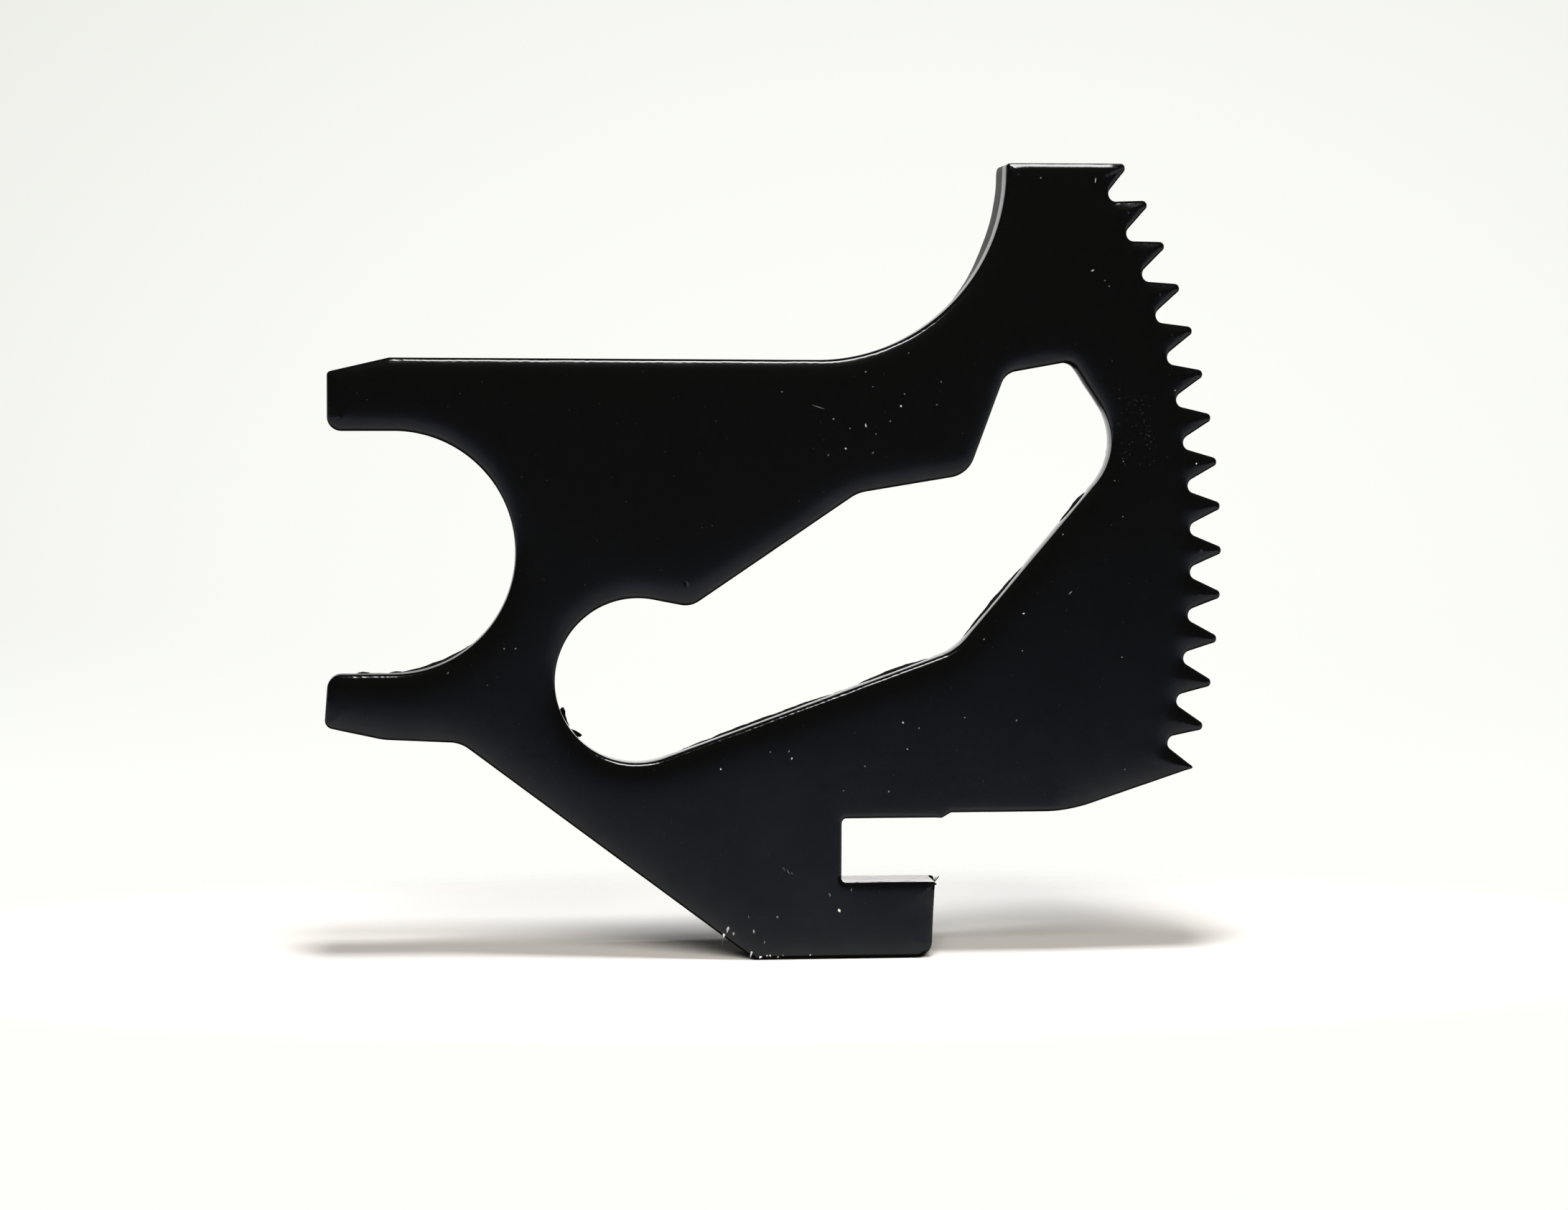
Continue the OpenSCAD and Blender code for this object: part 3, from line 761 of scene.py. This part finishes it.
def room():
    """The world: near white to the camera and a little darker towards the picture's corners,
    plain to rays that only light, and for mirrored rays the ring of tones in ROOM."""
    world = bpy.data.worlds.new("room")
    bpy.context.scene.world = world
    world.use_nodes = True
    tree = world.node_tree
    tree.nodes.clear()
    out = node_of(tree, "ShaderNodeOutputWorld")
    way = node_of(tree, "ShaderNodeTexCoord").outputs["Generated"]
    split = node_of(tree, "ShaderNodeSeparateXYZ", links={"Vector": way})
    front = node_of(tree, "ShaderNodeMath", {1: -1.0}, {0: split.outputs["Y"]}, operation="MULTIPLY")
    angle = node_of(tree, "ShaderNodeMath", links={0: split.outputs["Z"], 1: front.outputs[0]},
                    operation="ARCTAN2")
    turn = node_of(tree, "ShaderNodeMapRange", {"From Min": -np.pi, "From Max": np.pi},
                   {"Value": angle.outputs[0]})
    ring = node_of(tree, "ShaderNodeValToRGB", links={"Fac": turn.outputs["Result"]})
    stops = ring.color_ramp.elements
    while len(stops) < len(ROOM):
        stops.new(0.5)
    for stop, (degrees, tone) in zip(stops, ROOM):
        stop.position = (degrees + 180.0) / 360.0
    for stop, (degrees, tone) in zip(stops, ROOM):
        stop.color = (*tone, 1.0)
    # The backdrop darkens with the square of the distance from the picture's bright middle.
    off = node_of(tree, "ShaderNodeVectorMath", {1: (0.19, 0.98, -0.09)}, {0: way}, operation="SUBTRACT")
    wide = node_of(tree, "ShaderNodeVectorMath", {1: (1.9, 0.0, 2.45)}, {0: off.outputs["Vector"]},
                   operation="MULTIPLY")
    reach = node_of(tree, "ShaderNodeVectorMath", {}, {0: wide.outputs["Vector"], 1: wide.outputs["Vector"]},
                    operation="DOT_PRODUCT")
    above = node_of(tree, "ShaderNodeMapRange", {"From Min": -0.16, "From Max": -0.08},
                    {"Value": split.outputs["Z"]}, interpolation_type="SMOOTHSTEP")
    size = node_of(tree, "ShaderNodeMath", links={0: reach.outputs["Value"], 1: above.outputs["Result"]},
                   operation="MULTIPLY")
    colour = node_of(tree, "ShaderNodeMix", links={0: size.outputs[0]}, data_type="RGBA")
    colour.inputs[6].default_value = linear("#fefffa")
    colour.inputs[7].default_value = linear("#e9eae4")
    path = node_of(tree, "ShaderNodeLightPath")
    glossy = node_of(tree, "ShaderNodeBackground", {"Strength": 1.5}, {"Color": ring.outputs["Color"]})
    plain = node_of(tree, "ShaderNodeBackground", {"Color": (1.0, 1.0, 1.0, 1.0), "Strength": 0.04})
    seen = node_of(tree, "ShaderNodeBackground", {"Strength": 1.0}, {"Color": colour.outputs[2]})
    a = node_of(tree, "ShaderNodeMixShader", links={"Fac": path.outputs["Is Glossy Ray"]})
    tree.links.new(plain.outputs[0], a.inputs[1])
    tree.links.new(glossy.outputs[0], a.inputs[2])
    b = node_of(tree, "ShaderNodeMixShader", links={"Fac": path.outputs["Is Camera Ray"]})
    tree.links.new(a.outputs[0], b.inputs[1])
    tree.links.new(seen.outputs[0], b.inputs[2])
    tree.links.new(b.outputs[0], out.inputs["Surface"])


def soft_box(name, place, aim, wide, deep, power):
    """A rectangular lamp at place that faces aim, both in mm."""
    light = bpy.data.lights.new(name, "AREA")
    light.shape = "RECTANGLE"
    light.size, light.size_y = wide * MM, deep * MM
    light.energy = power
    obj = bpy.data.objects.new(name, light)
    obj.location = Vector(place) * MM
    obj.rotation_euler = (Vector(aim) - Vector(place)).to_track_quat("-Z", "Y").to_euler()
    bpy.context.scene.collection.objects.link(obj)
    return obj


def camera():
    """The photograph's viewpoint: 225 mm before the plate, turned 3.5 degrees to the right
    and 2.5 degrees down, with the frame shifted to where the picture was cropped."""
    cam = bpy.data.cameras.new("camera")
    cam.sensor_width = 36.0
    cam.lens = 57.38
    cam.shift_x, cam.shift_y = 0.1245, -0.0646
    cam.clip_start, cam.clip_end = 0.005, 60.0
    obj = bpy.data.objects.new("camera", cam)
    obj.location = (0.003844, -0.227213, 0.014269)
    obj.rotation_euler = (np.radians(87.5), 0.0, np.radians(-3.5))
    bpy.context.scene.collection.objects.link(obj)
    bpy.context.scene.camera = obj


stage()
room()
# A small lamp above draws the narrow shadow, and a wide warm one before the part fills it.
soft_box("overhead", (36, -76, 410), (36, 0, 0), 90, 90, 1.70).visible_glossy = False
fill_box = soft_box("front_fill", (36, -300, 236), (36, 0, 0), 260, 260, 1.30)
fill_box.visible_glossy = False
fill_box.data.color = linear("#fff8ee")[:3]
# A long low strip before the part, which only the coat's roundings mirror.
soft_box("front_strip", (90, -320, 275), (90, 0, 15), 204, 166, 2.1).visible_diffuse = False
camera()
bpy.context.scene.view_settings.view_transform = "Standard"
